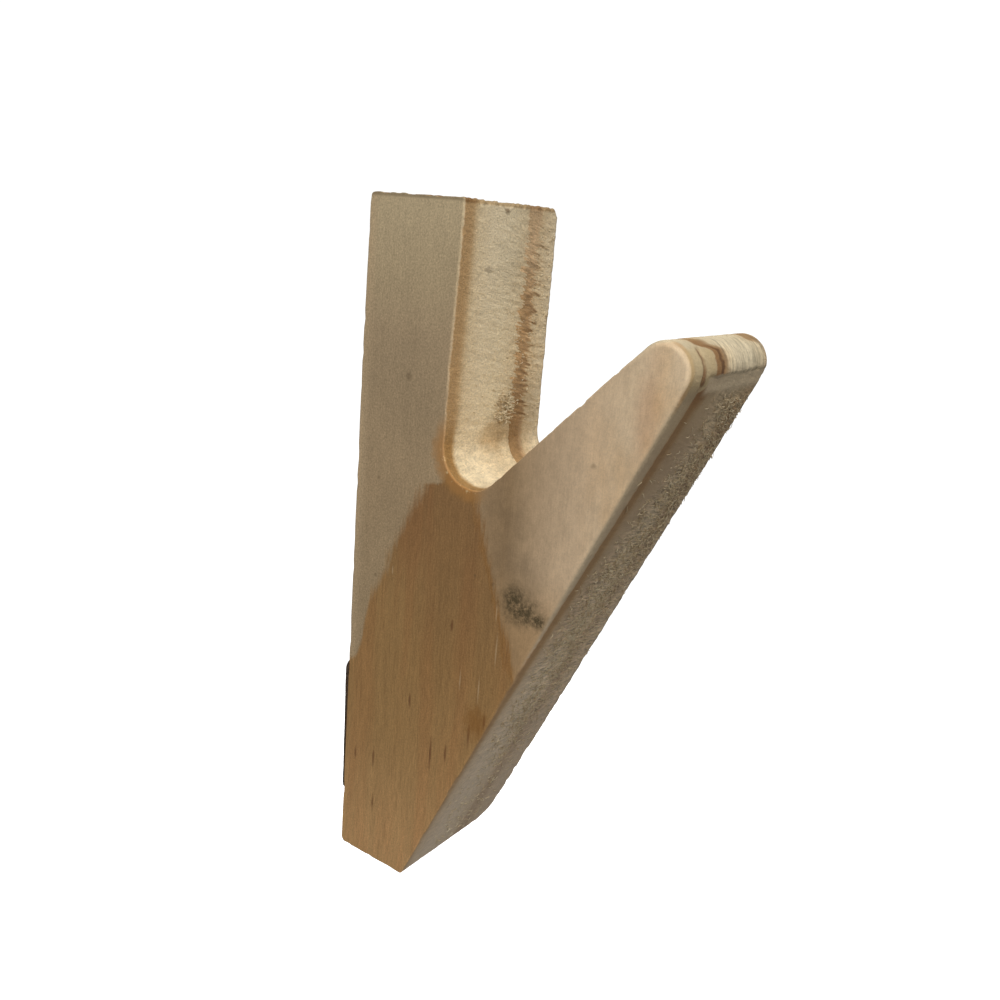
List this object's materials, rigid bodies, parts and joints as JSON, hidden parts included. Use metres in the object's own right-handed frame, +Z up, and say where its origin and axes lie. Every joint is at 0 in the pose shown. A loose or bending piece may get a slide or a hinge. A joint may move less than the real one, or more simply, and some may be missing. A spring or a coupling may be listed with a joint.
{
  "type": "wall hook",
  "caption": "Solid pine wall hook sawn from one thick board, with an upright back leg, a wedge-shaped arm and a round-bottomed notch, stuck up with a foam pad.",
  "frame": {"origin": "middle of the mounting pad's face against the wall", "axes": "+Z up, +Y into the wall, so the arm reaches out towards -Y; X runs through the thickness of the board"},
  "size_m": [0.025, 0.0555, 0.11],
  "materials": {
    "pine": "raw, sanded on the broad faces and rough-sawn on the edges",
    "foam": "matt closed-cell foam",
    "adhesive": "tacky acrylic film"
  },
  "bodies": {
    "root": {"hook_body": "pine", "pad_foam": "foam", "hook_side_adhesive": "adhesive", "wall_side_adhesive": "adhesive"}
  },
  "joints": []
}
